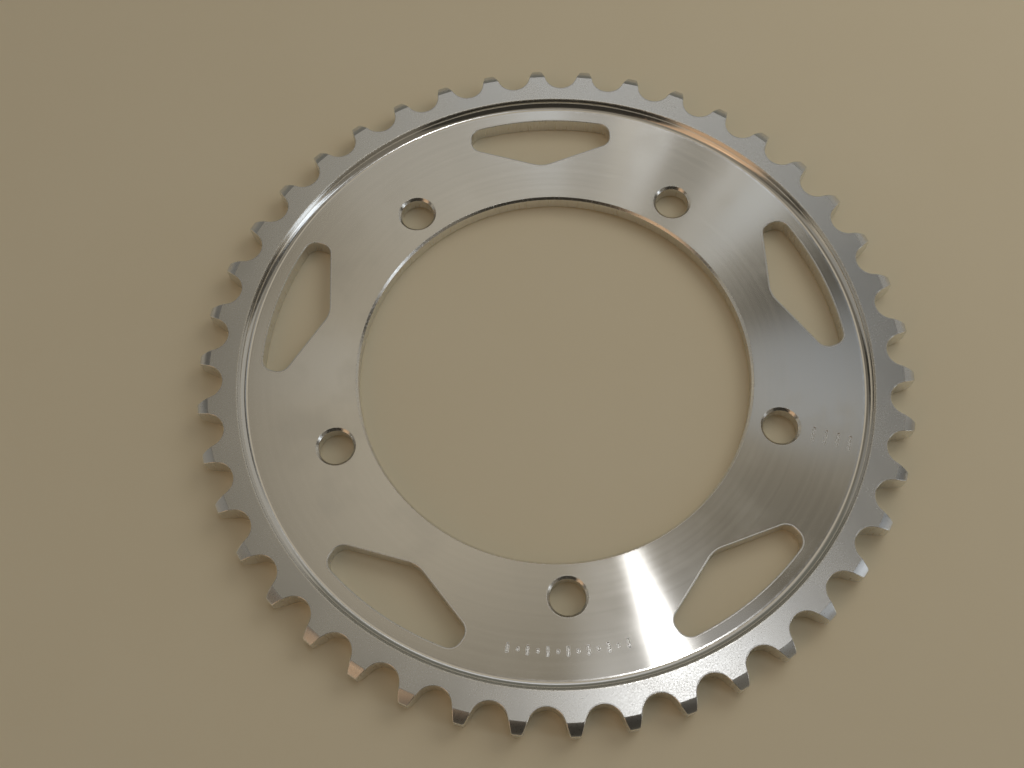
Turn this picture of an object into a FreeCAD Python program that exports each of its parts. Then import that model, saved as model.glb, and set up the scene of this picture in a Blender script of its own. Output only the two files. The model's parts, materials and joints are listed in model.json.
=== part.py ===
import FreeCAD, Part
import math
import os
import Sketcher

# Rear chain sprocket: one aluminium plate with a thick toothed rim and a thinner turned web.
#
# Millimetres. The sprocket lies flat. +Z is the wheel axis, and the turned front face looks up it.
# The origin is on the axis at the flat back face, which bolts against the hub. One bolt hole is on
# -Y and one window on +Y, and a tooth stands over each of them.

SIZES = {
    "teeth": 42,
    "chain_pitch": 15.875,
    "seating_radius": 5.28,        # roller seat: 0.505 roller diameters plus the usual allowance
    "seating_angle": 137.8,        # arc of the roller seat, in degrees
    "flank_radius": 158,           # convex flank of a tooth
    "tip_diameter": 217.6,
    "tip_corner": 0.6,             # rounding between a flank and the tip
    "bevel_diameter": 210.4,       # where the side bevels of the teeth begin
    "bevel_depth": 2,              # how far each bevel falls by the tip
    "bevel_radius": 8,             # the bevels are a little rounded
    "rim_thickness": 8.6,
    "web_thickness": 5.6,
    "recess_diameter": 192.6,      # inner wall of the rim
    "recess_fillet": 2.6,
    "recess_edge": 0.25,
    "bore_diameter": 120,
    "bore_chamfer": 0.7,
    "bolt_count": 5,
    "bolt_circle": 140,
    "bolt_hole": 10.5,
    "bolt_chamfer": 0.75,
    "window_count": 5,
    "window_outer_radius": 89.8,
    "window_width": 45.5,
    "window_slope": 18.2,          # of each inner edge from the tangential direction, in degrees
    "window_vertex_radius": 72.6,  # from the wheel axis to the sharp inner corner
    "window_corner": 3.75,
    "window_vertex_round": 8,
    "window_chamfer": 0.25,
    "mark_depth": 0.3,
    "mark_width": 0.8,
    "mark_taper": 30,              # of the walls of a punched mark, in degrees
    "stroke_radius": 85.4,         # of the middle of the row of punched strokes
    "long_stroke": 2.8,
    "short_stroke": 1.2,
    "long_count": 7,
    "short_count": 6,
    "long_start": 258,             # polar angle of the first long stroke, in degrees
    "short_start": 260,
    "long_sweep": 23,              # from the first stroke to the last, in degrees
    "short_sweep": 19,
    "rung_radius": 79.8,           # of the first of the punched rungs beside a bolt hole
    "rung_length": 4.6,
    "rung_spacing": 3.6,
    "rung_count": 4,
    "rung_angle": 342,             # polar angle of the middle of the rungs, in degrees
}
FULL_TURN = 360
OVERSHOOT = 2      # how far a cutting outline reaches past the metal
ON_FACE = 1e-4     # two heights closer than this are the same

HORIZONTAL_AXIS = -1
VERTICAL_AXIS = -2
ORIGIN_POINT = (-1, 1)
START, END, CENTRE = 1, 2, 3
LEFT, RIGHT = 1, -1
UP = FreeCAD.Vector(0, 0, 1)


class Measure:
    """A length or angle as a number, with the spreadsheet expression that gives it."""

    def __init__(self, number, text):
        self.number = number
        self.text = text

    def __add__(self, other):
        return Measure(self.number + other.number, f"({self.text} + {other.text})")

    def __sub__(self, other):
        return Measure(self.number - other.number, f"({self.text} - {other.text})")

    def __neg__(self):
        return Measure(-self.number, f"-({self.text})")

    def half(self):
        return Measure(self.number / 2, f"({self.text} / 2)")


def size(alias):
    return Measure(SIZES[alias], f"sheet.{alias}")


def constant(number):
    return Measure(number, f"{number}")


ZERO = constant(0)


def pitch_radius():
    """The circle through the roller centres."""
    number = SIZES["chain_pitch"] / (2 * math.sin(math.pi / SIZES["teeth"]))
    return Measure(number, "(sheet.chain_pitch / (2 * sin(180 deg / sheet.teeth)))")


# The document and the parametric helpers.


def make_sheet(document):
    sheet = document.addObject("Spreadsheet::Sheet", "sheet")
    for row, (alias, number) in enumerate(SIZES.items(), start=1):
        sheet.set(f"A{row}", alias)
        sheet.set(f"B{row}", str(number))
        sheet.setAlias(f"B{row}", alias)
    document.recompute()


def origin_feature(body, role):
    for feature in body.Origin.OriginFeatures:
        if feature.Role == role:
            return feature
    raise ValueError(f"the body has no origin feature {role}")


def add_sketch(body, name, plane):
    sketch = body.newObject("Sketcher::SketchObject", name)
    sketch.AttachmentSupport = [(origin_feature(body, plane), "")]
    sketch.MapMode = "FlatFace"
    return sketch


def bind(sketch, constraint, measure):
    """Add a dimensional constraint and tie it to the sheet."""
    index = sketch.addConstraint(constraint)
    sketch.setExpression(f"Constraints[{index}]", measure.text)


def bind_offset(sketch, axis, measure):
    """Move a sketch along one of its own axes by a length from the sheet."""
    sketch.setExpression(f"AttachmentOffset.Base.{axis}", measure.text)


def turn_sketch(sketch, measure):
    """Turn a sketch about the wheel axis by an angle from the sheet."""
    sketch.AttachmentOffset = FreeCAD.Placement(
        FreeCAD.Vector(0, 0, 0), FreeCAD.Rotation(UP, measure.number)
    )
    sketch.setExpression("AttachmentOffset.Rotation.Angle", measure.text)


def pin_point(sketch, geometry, end, x, y):
    """Hold a point of a sketch at two lengths from the sketch's origin."""
    for kind, measure, axis in (("DistanceX", x, VERTICAL_AXIS), ("DistanceY", y, HORIZONTAL_AXIS)):
        if measure is ZERO:
            sketch.addConstraint(Sketcher.Constraint("PointOnObject", geometry, end, axis))
            continue
        constraint = Sketcher.Constraint(kind, *ORIGIN_POINT, geometry, end, measure.number)
        bind(sketch, constraint, measure)


def arc_piece(start, finish, radius, side):
    """The arc of a given radius from start to finish that bulges away from side."""
    chord = finish - start
    inward = FreeCAD.Vector(-chord.y, chord.x, 0).normalize() * side
    sagitta_leg = math.sqrt(radius ** 2 - (chord.Length / 2) ** 2)
    centre = start + chord / 2 + inward * sagitta_leg
    first, last = (start, finish) if side == LEFT else (finish, start)
    angles = [math.atan2(point.y - centre.y, point.x - centre.x) for point in (first, last)]
    return Part.ArcOfCircle(Part.Circle(centre, UP, radius), *angles)


def draw_outline(sketch, corners, arcs=None):
    """Draw a closed outline through corners, each an (x, y) pair of measures.

    Its pieces are straight, apart from those in arcs, which maps the number of the corner that an
    arc leaves to its radius and the side of the way round on which its centre lies.
    """
    arcs = arcs or {}
    points = [FreeCAD.Vector(x.number, y.number, 0) for x, y in corners]
    ends = []
    for index, start in enumerate(points):
        finish = points[(index + 1) % len(points)]
        if index in arcs:
            radius, side = arcs[index]
            piece = sketch.addGeometry(arc_piece(start, finish, radius.number, side))
            bind(sketch, Sketcher.Constraint("Radius", piece, radius.number), radius)
            ends.append((piece, START, END) if side == LEFT else (piece, END, START))
        else:
            piece = sketch.addGeometry(Part.LineSegment(start, finish))
            ends.append((piece, START, END))
    for index, (x, y) in enumerate(corners):
        piece, first, _ = ends[index]
        before, _, before_last = ends[index - 1]
        sketch.addConstraint(Sketcher.Constraint("Coincident", before, before_last, piece, first))
        pin_point(sketch, piece, first, x, y)


def cut_through(body, name, sketch):
    """Pocket a sketch on the back face up through the whole plate."""
    pocket = body.newObject("PartDesign::Pocket", name)
    pocket.Profile = sketch
    pocket.Type = "ThroughAll"
    pocket.Reversed = True
    return pocket


def cut_round(body, name, sketch):
    """Turn a sketch about its own vertical axis and take that shape away."""
    groove = body.newObject("PartDesign::Groove", name)
    groove.Profile = sketch
    groove.ReferenceAxis = (sketch, ["V_Axis"])
    groove.Angle = FULL_TURN
    return groove


def repeat_round(body, name, feature, count, sweep=None):
    """Repeat a feature about the wheel axis, over a full turn unless a sweep is given."""
    pattern = body.newObject("PartDesign::PolarPattern", name)
    pattern.Originals = [feature]
    pattern.Axis = (origin_feature(body, "Z_Axis"), [""])
    pattern.Angle = FULL_TURN
    if sweep:
        pattern.setExpression("Angle", sweep.text)
    pattern.setExpression("Occurrences", count.text)
    body.Tip = pattern
    return pattern


def finish_cut(body, name, volume_before):
    """Recompute, and stop if the last cut took nothing away."""
    body.Document.recompute()
    volume = body.Shape.Volume
    print(f"{name}: {volume_before - volume:.1f} mm3 removed")
    if volume >= volume_before:
        raise ValueError(f"{name} removed no metal")


# The features of the sprocket, in the order in which it is machined.


def turn_blank(body):
    """The turned disc: bore, recessed web, hollow fillet, rim and the bevels of the teeth."""
    bore = size("bore_diameter").half()
    bore_edge = bore + size("bore_chamfer")
    bevel = size("bevel_diameter").half()
    tip = size("tip_diameter").half()
    wall = size("recess_diameter").half()
    web = size("web_thickness")
    rim = size("rim_thickness")
    corners = [
        (bore_edge, ZERO),
        (bevel, ZERO),
        (tip, size("bevel_depth")),
        (tip, rim - size("bevel_depth")),
        (bevel, rim),
        (wall + size("recess_edge"), rim),
        (wall, rim - size("recess_edge")),
        (wall, web + size("recess_fillet")),
        (wall - size("recess_fillet"), web),
        (bore_edge, web),
        (bore, web - size("bore_chamfer")),
        (bore, size("bore_chamfer")),
    ]
    sketch = add_sketch(body, "blank_profile", "XZ_Plane")
    bevel_arc = (size("bevel_radius"), LEFT)
    arcs = {1: bevel_arc, 3: bevel_arc, 7: (size("recess_fillet"), RIGHT)}
    draw_outline(sketch, corners, arcs)
    blank = body.newObject("PartDesign::Revolution", "blank")
    blank.Profile = sketch
    blank.ReferenceAxis = (sketch, ["V_Axis"])
    blank.Angle = FULL_TURN
    body.Document.recompute()


def is_upright(edge):
    start, finish = edge.Vertexes[0].Point, edge.Vertexes[-1].Point
    return math.hypot(finish.x - start.x, finish.y - start.y) < ON_FACE < abs(finish.z - start.z)


def round_upright_edges(body, name, wanted, radius):
    """Fillet the upright edges whose distance from the wheel axis passes the test wanted."""
    base = body.Tip
    names = []
    for index, edge in enumerate(base.Shape.Edges, start=1):
        point = edge.Vertexes[0].Point
        if is_upright(edge) and wanted(math.hypot(point.x, point.y)):
            names.append(f"Edge{index}")
    fillet = body.newObject("PartDesign::Fillet", name)
    fillet.Base = (base, names)
    fillet.setExpression("Radius", radius.text)
    body.Tip = fillet
    body.Document.recompute()


def break_window_edges(body):
    """Chamfer the outlines of the windows on the front and the back."""
    inner = SIZES["window_vertex_radius"]
    outer = SIZES["window_outer_radius"]
    base = body.Tip
    names = []
    for index, edge in enumerate(base.Shape.Edges, start=1):
        middle = edge.valueAt((edge.FirstParameter + edge.LastParameter) / 2)
        distance = math.hypot(middle.x, middle.y)
        if not is_upright(edge) and inner < distance < outer + ON_FACE:
            names.append(f"Edge{index}")
    chamfer = body.newObject("PartDesign::Chamfer", "window_chamfers")
    chamfer.Base = (base, names)
    chamfer.setExpression("Size", "sheet.window_chamfer")
    body.Tip = chamfer
    body.Document.recompute()


def draw_window(body):
    """A window about +Y: a circular outer edge, two short sides and two edges that meet inwards."""
    sketch = add_sketch(body, "window_outline", "XY_Plane")
    outer = size("window_outer_radius")
    half_width = size("window_width").half()
    vertex = size("window_vertex_radius")
    slope = math.radians(SIZES["window_slope"])
    side_top = math.sqrt(outer.number ** 2 - half_width.number ** 2)
    side_foot = vertex.number + half_width.number * math.tan(slope)
    right_top = FreeCAD.Vector(half_width.number, side_top, 0)
    left_top = FreeCAD.Vector(-half_width.number, side_top, 0)
    right_foot = FreeCAD.Vector(half_width.number, side_foot, 0)
    left_foot = FreeCAD.Vector(-half_width.number, side_foot, 0)
    inner = FreeCAD.Vector(0, vertex.number, 0)
    reach = math.atan2(half_width.number, side_top)
    circle = Part.Circle(FreeCAD.Vector(0, 0, 0), UP, outer.number)
    arc = sketch.addGeometry(Part.ArcOfCircle(circle, math.pi / 2 - reach, math.pi / 2 + reach))
    left_side = sketch.addGeometry(Part.LineSegment(left_top, left_foot))
    left_leg = sketch.addGeometry(Part.LineSegment(left_foot, inner))
    right_leg = sketch.addGeometry(Part.LineSegment(inner, right_foot))
    right_side = sketch.addGeometry(Part.LineSegment(right_foot, right_top))
    loop = [arc, left_side, left_leg, right_leg, right_side]
    for before, after in zip(loop, loop[1:] + loop[:1]):
        sketch.addConstraint(Sketcher.Constraint("Coincident", before, END, after, START))
    sketch.addConstraint(Sketcher.Constraint("Coincident", arc, CENTRE, *ORIGIN_POINT))
    sketch.addConstraint(Sketcher.Constraint("Vertical", left_side))
    sketch.addConstraint(Sketcher.Constraint("Vertical", right_side))
    bind(sketch, Sketcher.Constraint("Radius", arc, outer.number), outer)
    pin_point(sketch, right_leg, START, ZERO, vertex)
    width = Sketcher.Constraint("DistanceX", *ORIGIN_POINT, right_side, START, half_width.number)
    bind(sketch, width, half_width)
    tilt = Sketcher.Constraint("Angle", right_leg, slope)
    bind(sketch, tilt, size("window_slope"))
    sketch.addConstraint(Sketcher.Constraint("Symmetric", right_leg, END, left_leg, START, VERTICAL_AXIS))
    return sketch


def cut_windows(body):
    volume = body.Shape.Volume
    window = cut_through(body, "window", draw_window(body))
    repeat_round(body, "windows", window, size("window_count"))
    finish_cut(body, "windows", volume)
    inner = SIZES["window_vertex_radius"]
    outer = SIZES["window_outer_radius"]
    half_way = (inner + outer) / 2 - SIZES["window_corner"]
    round_upright_edges(
        body, "window_corners", lambda r: half_way < r < outer + ON_FACE, size("window_corner")
    )
    round_upright_edges(
        body, "window_vertices", lambda r: abs(r - inner) < ON_FACE, size("window_vertex_round")
    )
    break_window_edges(body)


def cut_bolt_holes(body):
    """Five clearance holes, chamfered on both faces."""
    volume = body.Shape.Volume
    over = constant(OVERSHOOT)
    hole = size("bolt_hole").half()
    chamfer = size("bolt_chamfer")
    web = size("web_thickness")
    corners = [
        (ZERO, -over),
        (hole + chamfer + over, -over),
        (hole, chamfer),
        (hole, web - chamfer),
        (hole + chamfer + over, web + over),
        (ZERO, web + over),
    ]
    sketch = add_sketch(body, "bolt_hole_profile", "YZ_Plane")
    bind_offset(sketch, "x", -size("bolt_circle").half())
    draw_outline(sketch, corners)
    groove = cut_round(body, "bolt_hole", sketch)
    repeat_round(body, "bolt_holes", groove, size("bolt_count"))
    finish_cut(body, "bolt holes", volume)


def draw_tooth_gap(body):
    """One gap about +Y: the roller seat, a convex flank each side and rounded tip corners."""
    sketch = add_sketch(body, "tooth_gap_outline", "XY_Plane")
    seat = size("seating_radius")
    pitch = pitch_radius()
    half_seat = math.radians(SIZES["seating_angle"] / 2)
    down = -math.pi / 2
    circle = Part.Circle(FreeCAD.Vector(0, pitch.number, 0), UP, seat.number)
    seat_arc = sketch.addGeometry(Part.ArcOfCircle(circle, down - half_seat, down + half_seat))
    sketch.addConstraint(Sketcher.Constraint("Horizontal", seat_arc, START, seat_arc, END))
    bind(sketch, Sketcher.Constraint("Radius", seat_arc, seat.number), seat)
    pin_point(sketch, seat_arc, CENTRE, ZERO, pitch)
    bind(sketch, Sketcher.Constraint("Angle", seat_arc, 2 * half_seat), size("seating_angle"))
    right_line, right_point = draw_gap_side(sketch, seat_arc, 1)
    left_line, left_point = draw_gap_side(sketch, seat_arc, -1)
    lid = sketch.addGeometry(Part.LineSegment(right_point, left_point))
    sketch.addConstraint(Sketcher.Constraint("Coincident", right_line, END, lid, START))
    sketch.addConstraint(Sketcher.Constraint("Coincident", left_line, END, lid, END))
    turn_sketch(sketch, Measure(180 / SIZES["teeth"], "(180 / sheet.teeth)"))
    return sketch


def draw_gap_side(sketch, seat_arc, side):
    """Draw a gap's flank, tip corner and way out of the metal: side 1 is right and -1 is left.

    The places are worked out for the right-hand side, and mirrored for the left.
    """
    seat = size("seating_radius")
    flank = size("flank_radius")
    corner = size("tip_corner")
    tip = size("tip_diameter").half()
    half_seat = math.radians(SIZES["seating_angle"] / 2)
    contact = FreeCAD.Vector(math.sin(half_seat), -math.cos(half_seat), 0)
    roller = FreeCAD.Vector(0, pitch_radius().number, 0)
    flank_centre = roller + contact * (seat.number + flank.number)
    corner_centre = meeting_point(
        flank_centre, flank.number - corner.number, tip.number - corner.number
    )
    towards_tip = corner_centre - flank_centre
    contact_angle = math.atan2(-contact.y, -contact.x)
    join_angle = math.atan2(towards_tip.y, towards_tip.x)
    tip_angle = math.atan2(corner_centre.y, corner_centre.x)
    flank_arc = add_side_arc(sketch, side, flank_centre, flank.number, join_angle, contact_angle)
    corner_arc = add_side_arc(sketch, side, corner_centre, corner.number, tip_angle, join_angle)
    outward = FreeCAD.Vector(side * math.cos(tip_angle), math.sin(tip_angle), 0)
    outer_point = outward * (tip.number + OVERSHOOT)
    line = sketch.addGeometry(Part.LineSegment(outward * tip.number, outer_point))
    near, far = (END, START) if side > 0 else (START, END)
    sketch.addConstraint(Sketcher.Constraint("Tangent", seat_arc, near, flank_arc, near))
    sketch.addConstraint(Sketcher.Constraint("Tangent", flank_arc, far, corner_arc, near))
    sketch.addConstraint(Sketcher.Constraint("Perpendicular", corner_arc, far, line, START))
    sketch.addConstraint(Sketcher.Constraint("PointOnObject", *ORIGIN_POINT, line))
    bind(sketch, Sketcher.Constraint("Radius", flank_arc, flank.number), flank)
    bind(sketch, Sketcher.Constraint("Radius", corner_arc, corner.number), corner)
    bind(sketch, Sketcher.Constraint("Distance", *ORIGIN_POINT, line, START, tip.number), tip)
    sketch.addConstraint(Sketcher.Constraint("Distance", line, OVERSHOOT))
    return line, outer_point


def meeting_point(centre, radius, axis_radius):
    """Where a circle about centre crosses a circle about the wheel axis, on the gap's side."""
    distance = centre.Length
    along = (distance ** 2 + axis_radius ** 2 - radius ** 2) / (2 * distance)
    across = math.sqrt(axis_radius ** 2 - along ** 2)
    direction = centre / distance
    return direction * along + FreeCAD.Vector(-direction.y, direction.x, 0) * across


def add_side_arc(sketch, side, centre, radius, first, last):
    """Add an arc of the right-hand side, or its mirror image in the Y axis."""
    if side < 0:
        centre = FreeCAD.Vector(-centre.x, centre.y, 0)
        first, last = math.pi - last, math.pi - first
    circle = Part.Circle(centre, UP, radius)
    return sketch.addGeometry(Part.ArcOfCircle(circle, first, last))


def cut_teeth(body):
    volume = body.Shape.Volume
    gap = cut_through(body, "tooth_gap", draw_tooth_gap(body))
    repeat_round(body, "tooth_gaps", gap, size("teeth"))
    finish_cut(body, "tooth gaps", volume)


def punch_mark(body, name, radius, radial, across, angle):
    """Punch one shallow rectangular mark into the web, at a polar radius and angle."""
    sketch = add_sketch(body, f"{name}_outline", "XY_Plane")
    inner = radius - radial.half()
    outer = radius + radial.half()
    half_width = across.half()
    draw_outline(
        sketch,
        [(inner, -half_width), (outer, -half_width), (outer, half_width), (inner, half_width)],
    )
    turn_sketch(sketch, angle)
    bind_offset(sketch, "z", size("web_thickness"))
    mark = body.newObject("PartDesign::Pocket", name)
    mark.Profile = sketch
    mark.setExpression("Length", "sheet.mark_depth")
    mark.setExpression("TaperAngle", "sheet.mark_taper")
    return mark


def punch_row(body, kind):
    """A row of long or short radial strokes, below the bolt hole on -Y."""
    volume = body.Shape.Volume
    name = f"{kind}_stroke"
    radius = size("stroke_radius")
    stroke = punch_mark(body, name, radius, size(name), size("mark_width"), size(f"{kind}_start"))
    repeat_round(body, f"{name}s", stroke, size(f"{kind}_count"), size(f"{kind}_sweep"))
    finish_cut(body, f"{name}s", volume)


def punch_rungs(body):
    """A ladder of plain strokes that runs outwards beside a bolt hole."""
    volume = body.Shape.Volume
    rung = punch_mark(
        body, "rung", size("rung_radius"), size("mark_width"), size("rung_length"), size("rung_angle")
    )
    pattern = body.newObject("PartDesign::LinearPattern", "rungs")
    pattern.Originals = [rung]
    pattern.Direction = (rung.Profile[0], ["H_Axis"])
    pattern.Mode = "Spacing"
    pattern.setExpression("Offset", "sheet.rung_spacing")
    pattern.setExpression("Occurrences", "sheet.rung_count")
    body.Tip = pattern
    finish_cut(body, "rungs", volume)


def build_sprocket(document):
    body = document.addObject("PartDesign::Body", "sprocket_plate")
    body.Label = "sprocket_plate"
    turn_blank(body)
    cut_windows(body)
    cut_bolt_holes(body)
    cut_teeth(body)
    punch_row(body, "long")
    punch_row(body, "short")
    punch_rungs(body)
    return body


def check_document(document, bodies):
    """Stop before writing anything if an object failed or a shape is unsound."""
    for item in document.Objects:
        failed = [word for word in item.State if word in ("Invalid", "Error")]
        if failed:
            raise ValueError(f"{item.Label} is {failed[0]}")
    for body in bodies:
        if body.Shape.isNull() or not body.Shape.isValid():
            raise ValueError(f"{body.Label} has no valid shape")
        if len(body.Shape.Solids) != 1:
            raise ValueError(f"{body.Label} isn't one solid")


def write_parts(bodies):
    os.makedirs("parts", exist_ok=True)
    for body in bodies:
        body.Shape.exportStep(f"parts/{body.Label}.step")
        box = body.Shape.optimalBoundingBox()
        extent = f"{box.XLength:.2f} x {box.YLength:.2f} x {box.ZLength:.2f}"
        print(f"{body.Label}: {extent} mm, {body.Shape.Volume:.0f} mm3")


def main():
    document = FreeCAD.newDocument("rear_sprocket")
    make_sheet(document)
    bodies = [build_sprocket(document)]
    document.recompute()
    check_document(document, bodies)
    write_parts(bodies)


main()
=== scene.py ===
import json
import math

import bpy
import numpy as np
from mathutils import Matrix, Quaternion, Vector
from mathutils.geometry import delaunay_2d_cdt


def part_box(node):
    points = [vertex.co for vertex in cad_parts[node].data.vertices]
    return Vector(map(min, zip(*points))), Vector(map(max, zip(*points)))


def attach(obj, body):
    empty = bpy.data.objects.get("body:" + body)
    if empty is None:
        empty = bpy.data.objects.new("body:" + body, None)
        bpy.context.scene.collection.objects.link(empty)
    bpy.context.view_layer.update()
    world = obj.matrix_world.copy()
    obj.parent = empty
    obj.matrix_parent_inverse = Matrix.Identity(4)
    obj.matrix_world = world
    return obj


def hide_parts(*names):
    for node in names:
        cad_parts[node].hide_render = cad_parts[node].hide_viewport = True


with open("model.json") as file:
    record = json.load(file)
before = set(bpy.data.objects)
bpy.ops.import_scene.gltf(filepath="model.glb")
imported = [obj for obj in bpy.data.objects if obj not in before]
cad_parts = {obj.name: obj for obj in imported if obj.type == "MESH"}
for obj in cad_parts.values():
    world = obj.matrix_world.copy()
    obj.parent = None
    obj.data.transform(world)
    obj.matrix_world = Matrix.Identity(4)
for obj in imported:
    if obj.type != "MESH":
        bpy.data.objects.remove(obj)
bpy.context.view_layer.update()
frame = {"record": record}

# The finished rear sprocket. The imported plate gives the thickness, the outside diameter and the
# mounts. Its finished skin is built here at a finer resolution: every edge is broken as a tool
# leaves it, and each machined surface has a finish of its own.
#
# Lengths are millimetres and angles degrees until the mesh is made, and then metres.

MM = 0.001
MOUNTS = {mount["name"]: mount for mount in frame["record"]["mounts"]}

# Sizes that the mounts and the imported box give.
LOW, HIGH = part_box("sprocket_plate")
RIM_TOP = (HIGH.z - LOW.z) / MM
TIP_RADIUS = HIGH.y / MM
WEB_TOP = MOUNTS["nut_face"]["pos_m"][2] / MM
BORE_RADIUS = MOUNTS["pilot_bore"]["dims"]["r_mm"]
HOLE_RADIUS = MOUNTS["hub_bolts"]["dims"]["hole_r_mm"]
HOLE_CIRCLE = MOUNTS["hub_bolts"]["dims"]["pcd_mm"] / 2
HOLE_COUNT = MOUNTS["hub_bolts"]["dims"]["count"]

# Teeth.
TEETH = 42
CHAIN_PITCH = 15.875
PITCH_RADIUS = CHAIN_PITCH / (2 * math.sin(math.pi / TEETH))
SEAT_RADIUS = 5.28
SEAT_HALF_ANGLE = math.radians(137.8 / 2)
FLANK_RADIUS = 158
TIP_CORNER = 0.6
BEVEL_START = 105.2
BEVEL_DEPTH = 2
BEVEL_RADIUS = 8

# Turned recess, bore and holes.
RECESS_RADIUS = 96.3
RECESS_FILLET = 2.6
RECESS_EDGE = 0.25
RECESS_FOOT = 0.4       # flat metal kept between the fillet and the web's mesh
BORE_CHAMFER = 0.7
HOLE_CHAMFER = 0.75

# Windows.
WINDOW_COUNT = 5
WINDOW_OUTER = 89.8
WINDOW_HALF_WIDTH = 45.5 / 2
WINDOW_SLOPE = math.radians(18.2)
WINDOW_VERTEX = 72.6
WINDOW_CORNER = 3.75
WINDOW_VERTEX_ROUND = 8
WINDOW_EDGE = 0.25

# Punched marks.
MARK_WIDTH = 0.8
MARK_DEPTH = 0.3
MARK_TAPER = math.radians(30)
MARK_CORNER = 0.3
STROKE_RADIUS = 85.4
LONG_ROW = {"length": 2.8, "count": 7, "start": 258, "sweep": 23}
SHORT_ROW = {"length": 1.2, "count": 6, "start": 260, "sweep": 19}
RUNG_RADIUS = 79.8
RUNG_LENGTH = 4.6
RUNG_SPACING = 3.6
RUNG_COUNT = 4
RUNG_ANGLE = 342

# How finely the skin is divided.
CIRCLE_STEPS = 480
HOLE_STEPS = 72
TOOTH_STEPS = {"tip": 3, "corner": 4, "flank": 5, "seat": 18}
WINDOW_STEPS = {"outer": 60, "corner": 12, "vertex": 14}
MARK_CORNER_STEPS = 3
ROUND_STEPS = 4
TOOTH_FOOT = 99.6       # a circle just inside the roots, where the rim's face is still whole
TOOTH_EDGE = 0.22       # how far a tooth's edges are broken
CREASE = 0.06           # how far the edges of a chamfer are broken
ROW_GAP = 0.05          # least distance between two rows of the toothed face
BEVEL_LEAD = 0.1        # rows this far on both sides of the line where the bevel starts
BEVEL_ROWS = (0.2, 0.4, 0.6, 0.8)
SAME_POINT = 1e-6


# Outlines. Each is a closed ring of points, anticlockwise from above, and at each point a unit
# vector that looks into the metal.


def arc_points(centre, radius, first, last, steps):
    """Points and outward directions along an arc, in radians, with both its ends."""
    angles = np.linspace(first, last, steps + 1)
    outward = np.stack([np.cos(angles), np.sin(angles)], axis=1)
    return np.asarray(centre, float) + radius * outward, outward


def circle_outline(radius, steps, centre=(0, 0), metal=1):
    points, outward = arc_points(centre, radius, 0, 2 * math.pi, steps)
    return points[:-1], metal * outward[:-1]


def turned(outline, angle):
    """An outline turned about the wheel axis, in radians."""
    c, s = math.cos(angle), math.sin(angle)
    rotation = np.array([[c, s], [-s, c]])
    return outline[0] @ rotation, outline[1] @ rotation


def circles_meet(centre, radius, axis_radius):
    """Where a circle about centre crosses one about the wheel axis, anticlockwise of centre."""
    distance = np.linalg.norm(centre)
    along = (distance ** 2 + axis_radius ** 2 - radius ** 2) / (2 * distance)
    across = math.sqrt(axis_radius ** 2 - along ** 2)
    direction = centre / distance
    return direction * along + np.array([-direction[1], direction[0]]) * across


def direction_angle(vector):
    return math.atan2(vector[1], vector[0])


def gap_side():
    """Right half of a tooth gap on +Y, from the bottom of the seat out to the middle of the tip."""
    contact = np.array([math.sin(SEAT_HALF_ANGLE), -math.cos(SEAT_HALF_ANGLE)])
    roller = np.array([0, PITCH_RADIUS])
    flank_centre = roller + contact * (SEAT_RADIUS + FLANK_RADIUS)
    corner_centre = circles_meet(
        flank_centre, FLANK_RADIUS - TIP_CORNER, TIP_RADIUS - TIP_CORNER
    )
    contact_angle = direction_angle(-contact)
    join_angle = direction_angle(corner_centre - flank_centre)
    tip_angle = direction_angle(corner_centre)
    tip_middle = math.pi / 2 - math.pi / TEETH
    bottom = -math.pi / 2
    seat, seat_out = arc_points(
        roller, SEAT_RADIUS, bottom, bottom + SEAT_HALF_ANGLE, TOOTH_STEPS["seat"] // 2
    )
    pieces = [
        (seat, seat_out),
        arc_points(flank_centre, FLANK_RADIUS, contact_angle, join_angle, TOOTH_STEPS["flank"]),
        arc_points(corner_centre, TIP_CORNER, join_angle, tip_angle, TOOTH_STEPS["corner"]),
        arc_points((0, 0), TIP_RADIUS, tip_angle, tip_middle, TOOTH_STEPS["tip"]),
    ]
    into_metal = [1, -1, -1, -1]
    points = np.concatenate([piece[0][:-1] for piece in pieces] + [pieces[-1][0][-1:]])
    metal = np.concatenate(
        [sign * piece[1][:-1] for sign, piece in zip(into_metal, pieces)] + [-pieces[-1][1][-1:]]
    )
    return points, metal


def tooth_outline():
    """All the teeth, with one on +Y."""
    right, right_metal = gap_side()
    mirror = np.array([-1, 1])
    left, left_metal = right[1:-1] * mirror, right_metal[1:-1] * mirror
    points = np.concatenate([right[::-1], left])
    metal = np.concatenate([right_metal[::-1], left_metal])
    step = 2 * math.pi / TEETH
    rings = [turned((points, metal), (index + 0.5) * step) for index in range(TEETH)]
    return np.concatenate([ring[0] for ring in rings]), np.concatenate([ring[1] for ring in rings])


def fillet_arc(before, corner, after, radius, steps):
    """The arc that rounds one corner of an anticlockwise outline."""
    into = (corner - before) / np.linalg.norm(corner - before)
    away = (after - corner) / np.linalg.norm(after - corner)
    turn = math.acos(float(np.clip(into @ away, -1, 1)))
    start = corner - into * radius * math.tan(turn / 2)
    centre = start + np.array([-into[1], into[0]]) * radius
    first = direction_angle(start - centre)
    return arc_points(centre, radius, first, first + turn, steps)


def join_arcs(arcs):
    """An outline whose arcs are joined by straight lines. All its corners turn one way."""
    points = np.concatenate([arc[0] for arc in arcs])
    metal = np.concatenate([arc[1] for arc in arcs])
    apart = np.linalg.norm(points - np.roll(points, 1, axis=0), axis=1) > SAME_POINT
    return points[apart], metal[apart]


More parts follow.
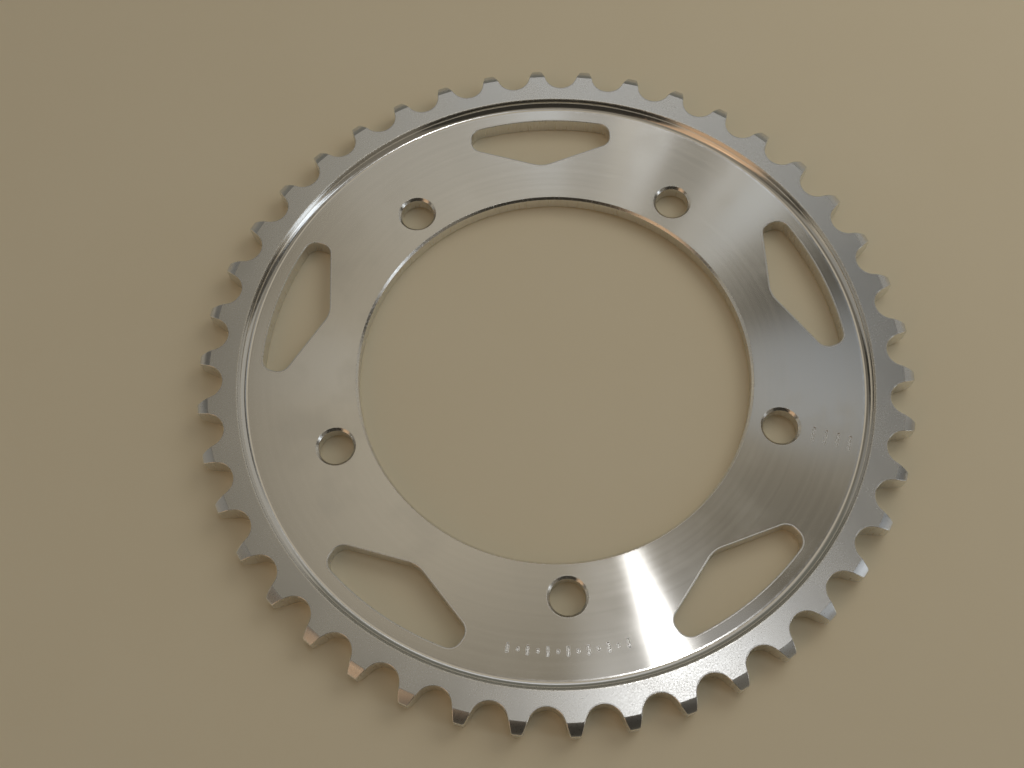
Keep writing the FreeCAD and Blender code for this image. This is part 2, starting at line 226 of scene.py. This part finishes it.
def window_outline():
    """The window on +Y: a circular outer edge, short sides and two edges that meet inwards."""
    foot = WINDOW_VERTEX + WINDOW_HALF_WIDTH * math.tan(WINDOW_SLOPE)
    side_top = math.sqrt(WINDOW_OUTER ** 2 - WINDOW_HALF_WIDTH ** 2)
    corner_x = WINDOW_HALF_WIDTH - WINDOW_CORNER
    corner_y = math.sqrt((WINDOW_OUTER - WINDOW_CORNER) ** 2 - corner_x ** 2)
    tangent = math.atan2(corner_y, corner_x)
    vertex = np.array([0, WINDOW_VERTEX])
    left_foot = np.array([-WINDOW_HALF_WIDTH, foot])
    right_foot = np.array([WINDOW_HALF_WIDTH, foot])
    left_top = np.array([-WINDOW_HALF_WIDTH, side_top])
    right_top = np.array([WINDOW_HALF_WIDTH, side_top])
    small = WINDOW_STEPS["corner"]
    return join_arcs([
        arc_points((0, 0), WINDOW_OUTER, tangent, math.pi - tangent, WINDOW_STEPS["outer"]),
        arc_points((-corner_x, corner_y), WINDOW_CORNER, math.pi - tangent, math.pi, small),
        fillet_arc(left_top, left_foot, vertex, WINDOW_CORNER, small),
        fillet_arc(left_foot, vertex, right_foot, WINDOW_VERTEX_ROUND, WINDOW_STEPS["vertex"]),
        fillet_arc(vertex, right_foot, right_top, WINDOW_CORNER, small),
        arc_points((corner_x, corner_y), WINDOW_CORNER, 0, tangent, small),
    ])


def mark_outline(radius, radial, across, angle):
    """A punched mark: a rectangle with rounded corners at a polar radius and angle."""
    inner, outer = radius - radial / 2, radius + radial / 2
    corners = [
        np.array([inner, -across / 2]),
        np.array([outer, -across / 2]),
        np.array([outer, across / 2]),
        np.array([inner, across / 2]),
    ]
    arcs = [
        fillet_arc(
            corners[index - 1], corners[index], corners[(index + 1) % 4],
            MARK_CORNER, MARK_CORNER_STEPS,
        )
        for index in range(4)
    ]
    return turned(join_arcs(arcs), math.radians(angle))


def mark_outlines():
    marks = []
    for row in (LONG_ROW, SHORT_ROW):
        for index in range(row["count"]):
            angle = row["start"] + row["sweep"] * index / (row["count"] - 1)
            marks.append(mark_outline(STROKE_RADIUS, row["length"], MARK_WIDTH, angle))
    for index in range(RUNG_COUNT):
        radius = RUNG_RADIUS + RUNG_SPACING * index
        marks.append(mark_outline(radius, MARK_WIDTH, RUNG_LENGTH, RUNG_ANGLE))
    return marks


# Profiles. Each is a list of (shift into the metal, height, normal's shift, normal's height).


def profile(corners, rounds):
    """Follow corners from the front face to the back, and round each inner corner by its reach."""
    samples = []
    spots = [np.array(corner, float) for corner in corners]
    runs = [(after - before) / np.linalg.norm(after - before)
            for before, after in zip(spots, spots[1:])]
    normals = [np.array([run[1], -run[0]]) for run in runs]
    samples.append((*spots[0], *normals[0]))
    for index, reach in enumerate(rounds):
        corner = spots[index + 1]
        before, after = normals[index], normals[index + 1]
        turn = math.atan2(before[0] * after[1] - before[1] * after[0], before @ after)
        side = math.copysign(1, turn)
        radius = reach / math.tan(abs(turn) / 2)
        centre = corner - runs[index] * reach - before * radius * side
        for step in range(ROUND_STEPS + 1):
            c, s = math.cos(turn * step / ROUND_STEPS), math.sin(turn * step / ROUND_STEPS)
            normal = np.array([c * before[0] - s * before[1], s * before[0] + c * before[1]])
            samples.append((*(centre + normal * radius * side), *normal))
    samples.append((*spots[-1], *normals[-1]))
    return samples


def through_profile(top, chamfer, crease):
    """A chamfered opening from the front face to the back."""
    lead = chamfer + 2 * crease
    corners = [
        (lead, top), (chamfer, top), (0, top - chamfer),
        (0, chamfer), (chamfer, 0), (lead, 0),
    ]
    return profile(corners, [crease] * 4)


def broken_profile(top, edge):
    """An opening whose two edges are only broken."""
    return profile([(2 * edge, top), (0, top), (0, 0), (2 * edge, 0)], [edge] * 2)


def recess_profile():
    """From the rim's face down the turned wall and round the hollow fillet to the web."""
    foot = -RECESS_FILLET - RECESS_FOOT
    corners = [(2 * RECESS_EDGE, RIM_TOP), (0, RIM_TOP), (0, WEB_TOP), (foot, WEB_TOP)]
    return profile(corners, [RECESS_EDGE, RECESS_FILLET])


def mark_profile():
    run = MARK_DEPTH * math.tan(MARK_TAPER)
    floor = WEB_TOP - MARK_DEPTH
    corners = [(2 * CREASE, WEB_TOP), (0, WEB_TOP), (-run, floor), (-run - CREASE, floor)]
    return profile(corners, [CREASE / 2] * 2)


# The bevelled sides of the teeth.


def bevel_arc():
    """Centre of the bevel's arc as (radius, depth below the face), below the front face."""
    chord = np.array([TIP_RADIUS - BEVEL_START, BEVEL_DEPTH])
    length = np.linalg.norm(chord)
    middle = np.array([BEVEL_START, 0]) + chord / 2
    across = np.array([-chord[1], chord[0]]) / length
    return middle + across * math.sqrt(BEVEL_RADIUS ** 2 - (length / 2) ** 2)


BEVEL_CENTRE = bevel_arc()


def bevel(radius):
    """Depth of the bevel below the face, and its slope, at distances from the wheel axis."""
    radius = np.asarray(radius, float)
    inside = np.maximum(radius - BEVEL_CENTRE[0], 0)
    fall = BEVEL_CENTRE[1] - np.sqrt(BEVEL_RADIUS ** 2 - inside ** 2)
    slope = inside / np.sqrt(BEVEL_RADIUS ** 2 - inside ** 2)
    flat = radius <= BEVEL_START
    return np.where(flat, 0, fall), np.where(flat, 0, slope)


# Asks the triangulation for the triangles inside the loops and no others.
FILL_LOOPS = 1


class Skin:
    """Points with their normals, and faces with the number of their finish."""

    def __init__(self):
        self.points = []
        self.normals = []
        self.faces = []
        self.finishes = []

    def add_ring(self, points, normals):
        first = len(self.points)
        self.points.extend(points)
        self.normals.extend(normals)
        return list(range(first, len(self.points)))

    def add_face(self, corners, finish):
        """Add a face, turned so that it looks the way that its points' normals do."""
        spots = [self.points[corner] for corner in corners]
        facing = np.cross(spots[1] - spots[0], spots[2] - spots[0])
        if len(spots) == 4:
            facing = np.cross(spots[2] - spots[0], spots[3] - spots[1])
        wanted = sum(self.normals[corner] for corner in corners)
        self.faces.append(corners if facing @ wanted > 0 else corners[::-1])
        self.finishes.append(finish)

    def band(self, first, second, finish):
        """Quads between two rings of the same length."""
        for index in range(len(first)):
            before = index - 1
            self.add_face([first[before], first[index], second[index], second[before]], finish)

    def fill(self, outer, holes, finish):
        """Triangles over a flat region inside one ring and outside others."""
        rings = [outer, *holes]
        order = [corner for ring in rings for corner in ring]
        flat = [Vector(self.points[corner][:2]) for corner in order]
        loops, start = [], 0
        for ring in rings:
            loops.append(list(range(start, start + len(ring))))
            start += len(ring)
        found = delaunay_2d_cdt(flat, [], loops, FILL_LOOPS, SAME_POINT)
        _, _, triangles, sources, _, around = found
        for triangle, enclosing in zip(triangles, around):
            # Metal is inside the outer ring and inside no other.
            if list(enclosing) == [0]:
                self.add_face([order[sources[corner][0]] for corner in triangle], finish)

    def sweep(self, outline, samples, finish_of):
        """Sweep a profile round an outline. Returns its first and last rings."""
        points, metal = outline
        rings = []
        for shift, height, across, up in samples:
            ring = np.column_stack([points + metal * shift, np.full(len(points), height)])
            normals = np.column_stack([metal * across, np.full(len(points), up)])
            rings.append(self.add_ring(ring, normals))
        for index in range(len(rings) - 1):
            self.band(rings[index], rings[index + 1], finish_of(index))
        return rings[0], rings[-1]


def lifted(points, normals, face):
    """Put points given above the front face onto it, or mirror them onto the back face."""
    points, normals = points.copy(), normals.copy()
    if face == "back":
        points[:, 2] = RIM_TOP - points[:, 2]
        normals[:, 2] = -normals[:, 2]
    return points, normals


def face_ring(radii, angles):
    """A ring on the rim's front face or on the bevels of the teeth."""
    depth, slope = bevel(radii)
    unit = np.column_stack([np.cos(angles), np.sin(angles)])
    points = np.column_stack([unit * radii[:, None], RIM_TOP - depth])
    normals = np.column_stack([unit * slope[:, None], np.ones(len(radii))])
    return points, normals / np.linalg.norm(normals, axis=1)[:, None]


def tooth_side_rings(outline):
    """Rings from the foot of the teeth out over the bevels and round the edge to the gap walls."""
    points, metal = outline
    start = points + metal * TOOTH_EDGE
    edge_radii = np.linalg.norm(start, axis=1)
    angles = np.arctan2(start[:, 1], start[:, 0])
    reach = TIP_RADIUS - TOOTH_EDGE - BEVEL_START
    rows = [TOOTH_FOOT, BEVEL_START - BEVEL_LEAD, BEVEL_START + BEVEL_LEAD]
    rows += [BEVEL_START + reach * share for share in BEVEL_ROWS]
    rings = []
    for index, row in enumerate(rows):
        limit = edge_radii - (len(rows) - index) * ROW_GAP
        radii = np.full(len(points), row) if index == 0 else np.minimum(row, limit)
        rings.append(face_ring(radii, angles))
    face_points, face_normals = face_ring(edge_radii, angles)
    rings.append((face_points, face_normals))
    wall_depth, _ = bevel(np.linalg.norm(points, axis=1))
    corner = np.column_stack([points, RIM_TOP - wall_depth])
    foot = corner - np.array([0, 0, TOOTH_EDGE])
    wall_normals = np.column_stack([-metal, np.zeros(len(points))])
    for step in range(1, ROUND_STEPS + 1):
        t = step / ROUND_STEPS
        spots = (1 - t) ** 2 * face_points + 2 * t * (1 - t) * corner + t ** 2 * foot
        normals = (1 - t) * face_normals + t * wall_normals
        rings.append((spots, normals / np.linalg.norm(normals, axis=1)[:, None]))
    return rings, len(rows)


FINISHES = ["web", "recess", "rim", "teeth", "walls", "edges", "back", "marks"]
NUMBER = {name: index for index, name in enumerate(FINISHES)}


def build_teeth(skin):
    """The toothed side of the rim. Returns its inner rings on the front and the back."""
    outline = tooth_outline()
    rings, face_rows = tooth_side_rings(outline)
    placed = {}
    for face in ("front", "back"):
        placed[face] = [skin.add_ring(*lifted(*ring, face)) for ring in rings]
        for index in range(len(rings) - 1):
            if index == 0:
                finish = "rim" if face == "front" else "back"
            elif index < face_rows:
                finish = "teeth"
            else:
                finish = "edges"
            skin.band(placed[face][index], placed[face][index + 1], NUMBER[finish])
    skin.band(placed["front"][-1], placed["back"][-1], NUMBER["walls"])
    return placed["front"][0], placed["back"][0]


def sweep_opening(skin, outline, samples, ends):
    """Sweep an opening through the plate. Its wall is milled and its ends have the named finish."""
    wall = (len(samples) - 1) // 2
    return skin.sweep(
        outline, samples, lambda index: NUMBER["walls"] if index == wall else NUMBER[ends]
    )


def place_openings():
    """Every opening through the plate, as its outline, its profile and the finish of its ends."""
    bore = circle_outline(BORE_RADIUS, CIRCLE_STEPS)
    hole = circle_outline(HOLE_RADIUS, HOLE_STEPS, (0, -HOLE_CIRCLE))
    window = window_outline()
    openings = [(bore, through_profile(WEB_TOP, BORE_CHAMFER, CREASE), "edges")]
    for index in range(HOLE_COUNT):
        place = turned(hole, 2 * math.pi * index / HOLE_COUNT)
        openings.append((place, through_profile(WEB_TOP, HOLE_CHAMFER, CREASE), "edges"))
    for index in range(WINDOW_COUNT):
        place = turned(window, 2 * math.pi * index / WINDOW_COUNT)
        openings.append((place, broken_profile(WEB_TOP, WINDOW_EDGE), "walls"))
    return openings


def build_skin():
    skin = Skin()
    front_foot, back_foot = build_teeth(skin)

    rim_edge, web_edge = skin.sweep(
        circle_outline(RECESS_RADIUS, CIRCLE_STEPS),
        recess_profile(),
        lambda index: NUMBER["edges"] if index <= ROUND_STEPS else NUMBER["recess"],
    )
    skin.fill(front_foot, [rim_edge], NUMBER["rim"])

    front_holes, back_holes = [], []
    for outline, samples, ends in place_openings():
        front, back = sweep_opening(skin, outline, samples, ends)
        front_holes.append(front)
        back_holes.append(back)
    for outline in mark_outlines():
        rim, floor = skin.sweep(outline, mark_profile(), lambda index: NUMBER["marks"])
        front_holes.append(rim)
        skin.fill(floor, [], NUMBER["marks"])
    skin.fill(web_edge, front_holes, NUMBER["web"])
    skin.fill(back_foot, back_holes, NUMBER["back"])
    return skin


def make_piece(skin, name, materials):
    mesh = bpy.data.meshes.new(name)
    mesh.from_pydata([Vector(point) * MM for point in skin.points], [], skin.faces)
    for material in materials:
        mesh.materials.append(material)
    mesh.polygons.foreach_set("material_index", skin.finishes)
    mesh.polygons.foreach_set("use_smooth", [True] * len(skin.faces))
    mesh.normals_split_custom_set_from_vertices([Vector(normal) for normal in skin.normals])
    mesh.update()
    piece = bpy.data.objects.new(name, mesh)
    bpy.context.scene.collection.objects.link(piece)
    return piece


# Materials. All are the one aluminium, and differ in how the surface was left.

# Nearly all of a noise lies between these.
NOISE_LOW = 0.3
NOISE_HIGH = 0.7


class Nodes:
    """A node tree under construction."""

    def __init__(self, tree):
        self.tree = tree

    def put(self, socket, value):
        if isinstance(value, bpy.types.NodeSocket):
            self.tree.links.new(value, socket)
        else:
            socket.default_value = value

    def add(self, kind, sockets=None, **settings):
        node = self.tree.nodes.new(kind)
        for name, value in settings.items():
            setattr(node, name, value)
        for key, value in (sockets or {}).items():
            self.put(node.inputs[key], value)
        return node

    def math(self, operation, first, second):
        return self.add("ShaderNodeMath", {0: first, 1: second}, operation=operation).outputs[0]

    def vector_math(self, operation, sockets, output=0):
        return self.add("ShaderNodeVectorMath", sockets, operation=operation).outputs[output]

    def tint(self, value, low, high):
        """A colour between two, at a value from 0 to 1. Each is three numbers or a socket."""
        node = self.add("ShaderNodeMix", {"Factor": value}, data_type="RGBA")
        for index, colour in ((6, low), (7, high)):
            ready = isinstance(colour, bpy.types.NodeSocket)
            self.put(node.inputs[index], colour if ready else (*colour, 1))
        return node.outputs[2]


class Graph(Nodes):
    """A node material under construction."""

    def __init__(self, name):
        self.material = bpy.data.materials.new(name)
        self.material.use_nodes = True
        super().__init__(self.material.node_tree)
        self.shader = self.tree.nodes["Principled BSDF"]

    def place(self):
        """The point in the row frame, in millimetres."""
        point = self.add("ShaderNodeTexCoord").outputs["Object"]
        return self.vector_math("SCALE", {0: point, "Scale": 1 / MM})

    def axis_distance(self, place):
        """Distance from the wheel axis, in millimetres."""
        flat = self.vector_math("MULTIPLY", {0: place, 1: FLAT})
        return self.vector_math("LENGTH", {0: flat}, "Value")

    def rings(self, distance, per_mm, detail):
        """Noise that changes only with the distance from the axis, from 0 to 1."""
        sockets = {"W": distance, "Scale": per_mm, "Detail": detail}
        return self.add("ShaderNodeTexNoise", sockets, noise_dimensions="1D").outputs[0]

    def cloud(self, place, per_mm, detail):
        """Noise in three dimensions, from 0 to 1."""
        sockets = {"Vector": place, "Scale": per_mm, "Detail": detail}
        return self.add("ShaderNodeTexNoise", sockets, noise_dimensions="3D").outputs[0]

    def spread(self, value, low, high, start=NOISE_LOW, end=NOISE_HIGH):
        """Map start..end of a noise to low..high."""
        sockets = {"Value": value, "From Min": start, "From Max": end, "To Min": low, "To Max": high}
        return self.add("ShaderNodeMapRange", sockets).outputs[0]

    def bump(self, height, depth_mm):
        sockets = {"Height": height, "Distance": depth_mm * MM, "Strength": 1.0}
        return self.add("ShaderNodeBump", sockets).outputs[0]

    def set(self, **values):
        """Values of the shader's sockets, with spaces in their names written as underscores."""
        for name, value in values.items():
            self.put(self.shader.inputs[name.replace("_", " ")], value)

    def metal(self, colour, roughness):
        """Make the shader bare metal. The colour is three numbers or a socket."""
        ready = isinstance(colour, bpy.types.NodeSocket)
        self.set(Metallic=1.0, Base_Color=colour if ready else (*colour, 1), Roughness=roughness)
        return self.material


FLAT = (1, 1, 0)
ALUMINIUM = (0.84, 0.83, 0.80)
ALUMINIUM_DULL = (0.78, 0.77, 0.74)
RECESS_METAL = (0.84, 0.83, 0.81)
FRESH_METAL = (0.93, 0.93, 0.92)

# The web mirrors sharply along its turning marks and smears light across them.
TURNED_ANISOTROPY = 0.99
QUARTER_TURN = 0.25

# The web's smudges: where their noise starts and ends, and the roughness they add.
SMUDGE_START = 0.5
SMUDGE_END = 0.72
SMUDGE_ROUGHNESS = 0.05

# Frosted finishes: darker and lighter colour, roughness, and depth of the grain in millimetres.
FROSTED = {
    "frosted_rim": ((0.72, 0.73, 0.73), (0.78, 0.78, 0.77), 0.25, 0.0006),
    "bevelled_teeth": ((0.66, 0.67, 0.68), (0.72, 0.72, 0.72), 0.30, 0.0008),
    "back_face": ((0.72, 0.72, 0.72), (0.78, 0.78, 0.78), 0.34, 0.003),
}

# How far the patches and the grain of a frosted face move its roughness up and down.
PATCH_ROUGHNESS = 0.02
GRAIN_ROUGHNESS = 0.03

# The cutter's marks are drawn out along the wheel axis.
CUTTER_STRETCH = (1, 1, 0.08)


def turned_web():
    """Bright turned metal: fine rings and the smudges of handling."""
    graph = Graph("turned_web")
    place = graph.place()
    distance = graph.axis_distance(place)
    fine = graph.rings(distance, per_mm=5.0, detail=2.0)
    broad = graph.rings(distance, per_mm=0.6, detail=4.0)
    smudge = graph.cloud(place, per_mm=0.06, detail=5.0)
    colour = graph.tint(graph.spread(broad, 0.4, 0.8), ALUMINIUM_DULL, ALUMINIUM)
    smudged = graph.spread(smudge, 0.0, SMUDGE_ROUGHNESS, SMUDGE_START, SMUDGE_END)
    roughness = graph.math("ADD", graph.spread(broad, 0.118, 0.13), smudged)
    graph.set(
        Normal=graph.bump(fine, depth_mm=0.0002),
        Tangent=graph.add("ShaderNodeTangent", direction_type="RADIAL", axis="Z").outputs[0],
        Anisotropic=TURNED_ANISOTROPY,
        Anisotropic_Rotation=QUARTER_TURN,
    )
    return graph.metal(colour, roughness)


def turned_recess():
    """The recess wall and its fillet, turned with a fine feed."""
    graph = Graph("turned_recess")
    streaks = graph.cloud(graph.place(), per_mm=0.5, detail=3.0)
    return graph.metal(RECESS_METAL, graph.spread(streaks, 0.10, 0.16))


def frosted(name, low, high, roughness, grain_depth):
    """A blasted, rolled or etched face with a fine even grain, between two colours."""
    graph = Graph(name)
    place = graph.place()
    grain = graph.cloud(place, per_mm=2.2, detail=2.0)
    patches = graph.cloud(place, per_mm=0.05, detail=4.0)
    colour = graph.tint(graph.spread(patches, 0, 1), low, high)
    patchy = graph.spread(patches, roughness - PATCH_ROUGHNESS, roughness + PATCH_ROUGHNESS)
    grainy = graph.spread(grain, -GRAIN_ROUGHNESS, GRAIN_ROUGHNESS)
    graph.set(Normal=graph.bump(grain, grain_depth))
    return graph.metal(colour, graph.math("ADD", patchy, grainy))


def milled_walls():
    """Cutter marks that run from face to face down the walls of the openings and gaps."""
    graph = Graph("milled_walls")
    drawn_out = graph.vector_math("MULTIPLY", {0: graph.place(), 1: CUTTER_STRETCH})
    marks = graph.cloud(drawn_out, per_mm=2.5, detail=2.0)
    graph.set(Normal=graph.bump(marks, depth_mm=0.004))
    colour = graph.tint(graph.spread(marks, 0, 1), ALUMINIUM_DULL, ALUMINIUM)
    return graph.metal(colour, graph.spread(marks, 0.26, 0.36))


def bright_edges():
    """Broken and chamfered edges, where the metal is freshest."""
    graph = Graph("bright_edges")
    nicks = graph.cloud(graph.place(), per_mm=1.6, detail=3.0)
    graph.set(Normal=graph.bump(nicks, depth_mm=0.006))
    return graph.metal(ALUMINIUM, graph.spread(nicks, 0.16, 0.30))


def punched_metal():
    """The shiny, uneven walls and floors of the punched marks."""
    graph = Graph("punched_metal")
    dents = graph.cloud(graph.place(), per_mm=1.5, detail=2.0)
    graph.set(Normal=graph.bump(dents, depth_mm=0.04))
    return graph.metal(FRESH_METAL, graph.spread(dents, 0.25, 0.30))


def make_materials():
    """One material for each of FINISHES, in that order."""
    rim, teeth, back = [frosted(name, *numbers) for name, numbers in FROSTED.items()]
    return [
        turned_web(), turned_recess(), rim, teeth, milled_walls(), bright_edges(), back,
        punched_metal(),
    ]


# Floor, light and camera.

FLOOR_DROP = 0.05       # below the back face
FLOOR_SIZE = 60000
FLOOR_COLOURS = ((0.92, 0.83, 0.63), (0.95, 0.87, 0.68))


def floor_material():
    graph = Graph("pale_floor")
    cloud = graph.cloud(graph.place(), per_mm=0.02, detail=4.0)
    graph.set(Base_Color=graph.tint(cloud, *FLOOR_COLOURS), Roughness=0.6, Specular_IOR_Level=0.3)
    return graph.material


def make_floor():
    half = FLOOR_SIZE / 2 * MM
    height = -FLOOR_DROP * MM
    corners = [(x, y, height) for x, y in ((-half, -half), (half, -half), (half, half), (-half, half))]
    mesh = bpy.data.meshes.new("floor")
    mesh.from_pydata(corners, [], [(0, 1, 2, 3)])
    mesh.materials.append(floor_material())
    floor = bpy.data.objects.new("floor", mesh)
    bpy.context.scene.collection.objects.link(floor)


WARM = (1.0, 0.89, 0.70)
CREAM = (1.0, 0.95, 0.84)
AMBER = (1.0, 0.66, 0.40)
COOL = (0.88, 0.94, 1.0)
OLIVE = (1.0, 0.97, 0.80)
WHITE = (1.0, 1.0, 1.0)

# The bare room's brightness at the horizon and overhead.
ROOM_HORIZON = 0.42
ROOM_OVERHEAD = 0.22

# Upright strips of the room, each over the ones before it: azimuth of the middle, half width,
# softness, lowest and highest elevation, brightness and colour.
STRIPS = {
    "viewer": (270, 36, 5, 5, 72, 0.03, WARM),
    "beside_viewer": (321, 15, 4, 5, 66, 0.16, WARM),
    "window": (342.5, 5, 2, 5, 40, 1.4, COOL),
    "window_top": (350, 6, 2, 38, 62, 1.4, COOL),
    "dark_post": (2, 8.5, 3, 5, 58, 0.06, WARM),
    "cream_wall": (34.5, 23, 4, 5, 48, 0.36, CREAM),
    "olive_wall": (79, 21, 4, 5, 41, 0.15, OLIVE),
    "back_corner": (114, 14, 4, 5, 46, 0.14, OLIVE),
    "left_wall": (136, 8, 3, 5, 56, 0.22, CREAM),
    "dark_left": (152.5, 9, 3, 16, 62, 0.02, WARM),
    "left_glow": (170, 12, 4, 5, 60, 0.27, CREAM),
    "dark_left_front": (195, 4, 3, 5, 62, 0.05, WARM),
    "front_corner": (203, 4, 3, 5, 62, 0.14, WARM),
    "warm_door": (220, 12, 4, 5, 68, 0.62, AMBER),
}

# Round soft panels and dark cards over the strips: azimuth and elevation of the middle, half
# angle, softness of the edge, brightness and colour.
PANELS = {
    "warm_lamp": (214, 46, 4, 3, 1.2, AMBER),
    "back": (80, 50, 17, 7, 0.38, CREAM),
    "back_low": (84, 49, 6, 5, 0.66, WHITE),
    "below_back": (76, 26, 17, 4, 0.14, OLIVE),
    "left_dim": (138, 57, 15, 8, 0.14, WARM),
    "overhead_left": (98, 69, 9, 4, 0.44, WARM),
    "left_streak": (109, 65.5, 1.5, 1.5, 0.52, CREAM),
    "dark_far_right": (47, 55, 6, 3, 0.05, WARM),
    "dark_top_right": (60, 62, 4, 3, 0.05, WARM),
    "cool_top_right": (56.3, 64.6, 3.0, 2.5, 0.44, COOL),
    "dark_overhead": (45, 73, 5, 3, 0.12, WARM),
    "key_glow": (46, 82.5, 2.5, 3, 1.05, WHITE),
    "key_glow_right": (39, 78.3, 3.5, 4, 0.42, WHITE),
    "blind_1": (67, 57, 1.3, 0.8, 1.0, COOL),
    "blind_2": (70.5, 56, 1.0, 0.6, 1.0, WHITE),
    "blind_gap_1": (74, 56.5, 1.6, 0.5, 0.14, WARM),
    "blind_3": (77, 54.5, 1.0, 0.4, 1.6, WHITE),
    "blind_4": (79.5, 54, 0.8, 0.6, 1.1, WARM),
    "blind_gap_2": (82.5, 55, 1.3, 0.8, 0.22, WARM),
    "blind_5": (86.5, 53.5, 1.4, 0.8, 0.9, COOL),
}

# Lamps that look at the sprocket: azimuth, elevation, distance, diameter, brightness, colour,
# and whether polished metal mirrors them.
LAMPS = {
    "key": (33.5, 80.6, 2.0, 0.055, 78, WHITE, True),
    "floor_light": (35, 45, 0.60, 0.40, 1.0, CREAM, False),
}


def direction_of(azimuth, elevation):
    azimuth, elevation = math.radians(azimuth), math.radians(elevation)
    flat = math.cos(elevation)
    return Vector((math.cos(azimuth) * flat, math.sin(azimuth) * flat, math.sin(elevation)))


def scaled(colour, brightness):
    return [brightness * part for part in colour]


class Room(Nodes):
    """The world's nodes. Its brightness depends only on the direction."""

    def __init__(self, world):
        world.use_nodes = True
        super().__init__(world.node_tree)
        self.direction = self.add("ShaderNodeTexCoord").outputs["Generated"]
        flat = self.vector_math("MULTIPLY", {0: self.direction, 1: FLAT})
        self.heading = self.vector_math("NORMALIZE", {0: flat})
        self.height = self.add("ShaderNodeSeparateXYZ", {0: self.direction}).outputs["Z"]
        overhead = self.ramp(self.height, 0.0, 1.0)
        self.light = self.tint(overhead, scaled(WARM, ROOM_HORIZON), scaled(WARM, ROOM_OVERHEAD))

    def ramp(self, value, start, end):
        """A smooth step from 0 at start to 1 at end."""
        sockets = {"Value": value, "From Min": start, "From Max": end, "To Min": 0, "To Max": 1}
        node = self.add("ShaderNodeMapRange", sockets, interpolation_type="SMOOTHSTEP")
        return node.outputs[0]

    def near(self, vector, azimuth, elevation, half_angle, softness):
        """1 where a unit vector is within half_angle of a direction, and 0 outside."""
        toward = direction_of(azimuth, elevation)
        alike = self.vector_math("DOT_PRODUCT", {0: vector, 1: toward}, "Value")
        outer = math.cos(math.radians(half_angle + softness / 2))
        inner = math.cos(math.radians(half_angle - softness / 2))
        return self.ramp(alike, outer, inner)

    def above(self, elevation, softness):
        """0 below an elevation and 1 above it."""
        start = math.sin(math.radians(elevation - softness / 2))
        end = math.sin(math.radians(elevation + softness / 2))
        return self.ramp(self.height, start, end)

    def cover(self, mask, brightness, colour):
        self.light = self.tint(mask, self.light, scaled(colour, brightness))

    def add_strip(self, azimuth, half_width, softness, lowest, highest, brightness, colour):
        inside = self.near(self.heading, azimuth, 0, half_width, softness)
        upright = self.math("SUBTRACT", self.above(lowest, softness), self.above(highest, softness))
        self.cover(self.math("MULTIPLY", inside, upright), brightness, colour)

    def add_panel(self, azimuth, elevation, half_angle, softness, brightness, colour):
        inside = self.near(self.direction, azimuth, elevation, half_angle, softness)
        self.cover(inside, brightness, colour)


def make_world():
    world = bpy.data.worlds.new("soft_room")
    bpy.context.scene.world = world
    room = Room(world)
    for strip in STRIPS.values():
        room.add_strip(*strip)
    for panel in PANELS.values():
        room.add_panel(*panel)
    room.put(room.tree.nodes["Background"].inputs["Color"], room.light)


def add_lamp(name, azimuth, elevation, distance, diameter, brightness, colour, mirrored):
    """A round soft lamp that looks at the middle of the sprocket. Brightness is its radiance."""
    light = bpy.data.lights.new(name, "AREA")
    light.shape = "DISK"
    light.size = diameter
    light.energy = brightness * math.pi * math.pi * (diameter / 2) ** 2
    light.color = colour
    lamp = bpy.data.objects.new(name, light)
    away = direction_of(azimuth, elevation)
    lamp.location = away * distance
    lamp.rotation_euler = (-away).to_track_quat("-Z", "Y").to_euler()
    lamp.visible_camera = False
    lamp.visible_glossy = mirrored
    bpy.context.scene.collection.objects.link(lamp)


# The camera looks at a point near the middle of the web.
CAMERA_TARGET = (-13.1, -4.11, 5.6)
CAMERA_DISTANCE = 373.9
CAMERA_HEADING = math.radians(0.25)     # to the right of +Y
CAMERA_ELEVATION = math.radians(67.85)
CAMERA_ROLL = math.radians(-2.87)
CAMERA_LENS = 43.21


def make_camera():
    flat = math.cos(CAMERA_ELEVATION)
    back = Vector((
        math.sin(CAMERA_HEADING) * flat,
        -math.cos(CAMERA_HEADING) * flat,
        math.sin(CAMERA_ELEVATION),
    ))
    camera = bpy.data.objects.new("camera", bpy.data.cameras.new("camera"))
    camera.data.lens = CAMERA_LENS
    camera.location = (Vector(CAMERA_TARGET) + back * CAMERA_DISTANCE) * MM
    camera.rotation_mode = "QUATERNION"
    level = (-back).to_track_quat("-Z", "Y")
    camera.rotation_quaternion = level @ Quaternion((0, 0, 1), CAMERA_ROLL)
    bpy.context.scene.collection.objects.link(camera)
    bpy.context.scene.camera = camera


def make_scene():
    bpy.context.scene.view_settings.view_transform = "Standard"
    piece = make_piece(build_skin(), "sprocket_finished", make_materials())
    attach(piece, "root")
    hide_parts("sprocket_plate")
    make_floor()
    make_world()
    for name, lamp in LAMPS.items():
        add_lamp(name, *lamp)
    make_camera()


make_scene()
